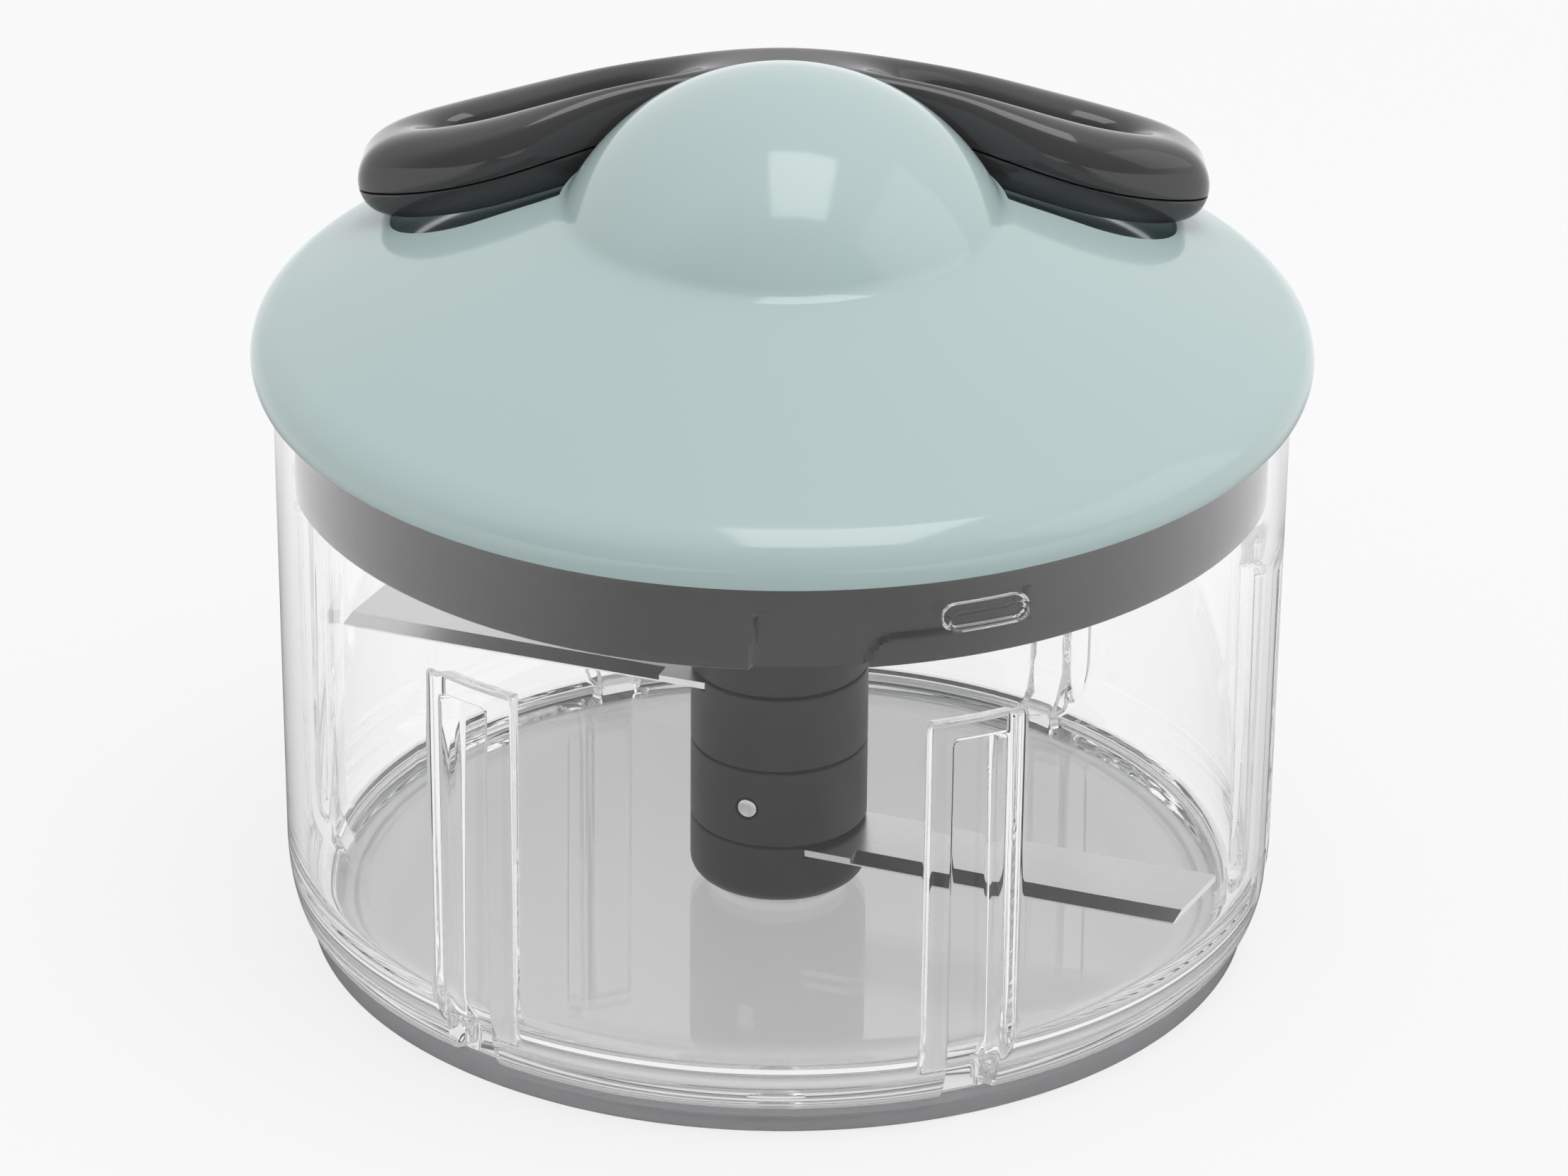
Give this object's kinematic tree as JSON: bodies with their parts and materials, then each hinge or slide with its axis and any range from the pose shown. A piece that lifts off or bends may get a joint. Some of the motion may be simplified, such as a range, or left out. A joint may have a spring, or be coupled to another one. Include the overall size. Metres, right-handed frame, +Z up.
{
  "type": "pull-handle food chopper",
  "caption": "Round food chopper: pulling the bow handle on the domed lid turns a twin-blade unit in a clear ribbed bowl on a soft base pad.",
  "frame": {"origin": "under the centre of the base pad, on the table", "axes": "+Z up along the blade unit's axis, -Y towards the front of the lid, +X to the right"},
  "size_m": [0.134, 0.134, 0.1157],
  "materials": {
    "smoky rubber": "matt",
    "clear plastic": "clear, polished",
    "stainless steel": "fine brushed",
    "dark grey plastic": "fine texture",
    "mint gloss plastic": "gloss",
    "natural plastic": "satin",
    "spring steel": "blued",
    "braided cord": "braided",
    "dark grey gloss plastic": "gloss"
  },
  "bodies": {
    "base": {"base_pad": "smoky rubber"},
    "bowl": {"bowl": "clear plastic", "pivot_pin": "stainless steel", "foot_washer": "stainless steel"},
    "blades": {"blade_spindle": "dark grey plastic", "blade_collar": "dark grey plastic", "blade_sleeve_upper": "dark grey plastic", "blade_sleeve_lower": "dark grey plastic", "blade_foot": "dark grey plastic", "upper_blade": "stainless steel", "lower_blade": "stainless steel", "blade_pin": "stainless steel"},
    "lid": {"lid_cover": "mint gloss plastic", "lid_housing": "dark grey plastic", "drive_bush": "natural plastic", "spring_case": "natural plastic", "spring_cap": "natural plastic", "case_screw_1": "stainless steel", "case_screw_2": "stainless steel", "case_screw_3": "stainless steel", "reel_axle": "stainless steel", "cord_guide": "stainless steel", "recoil_spring": "spring steel"},
    "drive": {"drive_socket": "natural plastic"},
    "reel": {"cord_reel": "natural plastic", "cord_winding": "braided cord", "clutch_pawl_1": "stainless steel", "clutch_pawl_2": "stainless steel"},
    "handle": {"handle_upper": "dark grey gloss plastic", "handle_lower": "dark grey gloss plastic", "cord_knot": "braided cord", "cord_lead": "braided cord"}
  },
  "joints": [
    {"name": "bowl_turn", "type": "hinge", "parent": "base", "child": "bowl", "pos_m": [0, 0, 0.002], "axis": [0, 0, 1], "range_deg": [-20, 0]},
    {"name": "lid_lift", "type": "slide", "parent": "base", "child": "lid", "axis": [0, 0, 1], "range_m": [0, 0.12]},
    {"name": "blade_spin", "type": "hinge", "parent": "base", "child": "blades", "pos_m": [0, 0, 0.02], "axis": [0, 0, 1], "continuous": true},
    {"name": "drive_spin", "type": "hinge", "parent": "lid", "child": "drive", "pos_m": [0, 0, 0.0772], "axis": [0, 0, 1], "continuous": true},
    {"name": "reel_spin", "type": "hinge", "parent": "lid", "child": "reel", "pos_m": [0, 0, 0.1], "axis": [0, 0, 1], "continuous": true},
    {"name": "handle_pull", "type": "slide", "parent": "lid", "child": "handle", "axis": [0, 0.9781, 0.2079], "range_m": [0, 0.45], "stiffness_N_per_m": 20, "springref_m": -0.25, "deforming": ["cord_lead"]}
  ],
  "couplings": [
    {"joint": "blade_spin", "follows": "handle_pull", "rad_per_m": 100},
    {"joint": "drive_spin", "follows": "handle_pull", "rad_per_m": 100},
    {"joint": "reel_spin", "follows": "handle_pull", "rad_per_m": 100}
  ]
}
